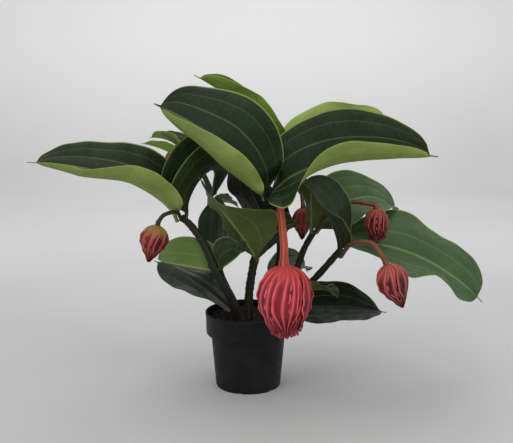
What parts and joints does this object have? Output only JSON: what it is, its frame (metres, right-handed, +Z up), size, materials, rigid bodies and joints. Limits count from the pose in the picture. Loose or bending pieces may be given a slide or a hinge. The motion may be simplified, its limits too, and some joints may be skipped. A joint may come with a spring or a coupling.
{
  "type": "potted medinilla plant",
  "caption": "House plant with broad ribbed leaves on winged stems and hanging pink buds of lapping bracts, standing in a plain round nursery pot with soil.",
  "frame": {"origin": "centre of the pot's foot, on the surface that it stands on", "axes": "+Z up, -Y towards the viewer of the picture, +X to the viewer's right"},
  "size_m": [0.689, 0.3305, 0.5069],
  "materials": {
    "pot": "matte black moulded plastic with a faint grain",
    "soil": "dark crumbly potting soil, slightly damp",
    "stem": "woody green-brown bark with four corky wings",
    "leaf": "leathery dark green upper face with sunk pale nerves, lime green underneath",
    "leaf_light": "leathery fresh green with pale raised nerves",
    "leaf_dark": "shaded blackish green leathery leaf",
    "bract": "satin salmon-pink bracts with paler raised ribs",
    "stalk": "fleshy ridged salmon-red flower stalk"
  },
  "bodies": {
    "root": {"pot": "pot", "soil": "soil", "stem_left": "stem", "stem_middle": "stem", "stem_right": "stem", "stem_far_right": "stem", "stem_back": "stem", "stem_back_left": "stem", "leaf_far_left": "leaf", "leaf_left_arch": "leaf", "leaf_top_left": "leaf", "leaf_top_right": "leaf", "leaf_top_left_back": "leaf_light", "leaf_top_right_back": "leaf_light", "leaf_right_big": "leaf", "leaf_right_arch": "leaf", "leaf_right_upper": "leaf", "leaf_right_inner": "leaf", "leaf_inner_dark": "leaf_dark", "leaf_inner_small": "leaf", "leaf_inner_left": "leaf", "leaf_left_fork_outer": "leaf", "leaf_left_fork_inner": "leaf", "leaf_middle_fork_left": "leaf", "leaf_middle_fork_right": "leaf", "leaf_low_left": "leaf_dark", "leaf_low_right": "leaf_dark", "leaf_back_low": "leaf", "leaf_young": "leaf_light", "leaf_far_back_low": "leaf_light", "leaf_far_back_high": "leaf", "stalk_front": "stalk", "bloom_front": "bract", "stalk_left": "stalk", "bloom_left": "bract", "stalk_right": "stalk", "bloom_right": "bract", "stalk_far_right": "stalk", "bloom_far_right": "bract", "stalk_back": "stalk", "bloom_back": "bract", "stalk_far_back": "stalk", "bloom_far_back": "bract"}
  },
  "joints": []
}
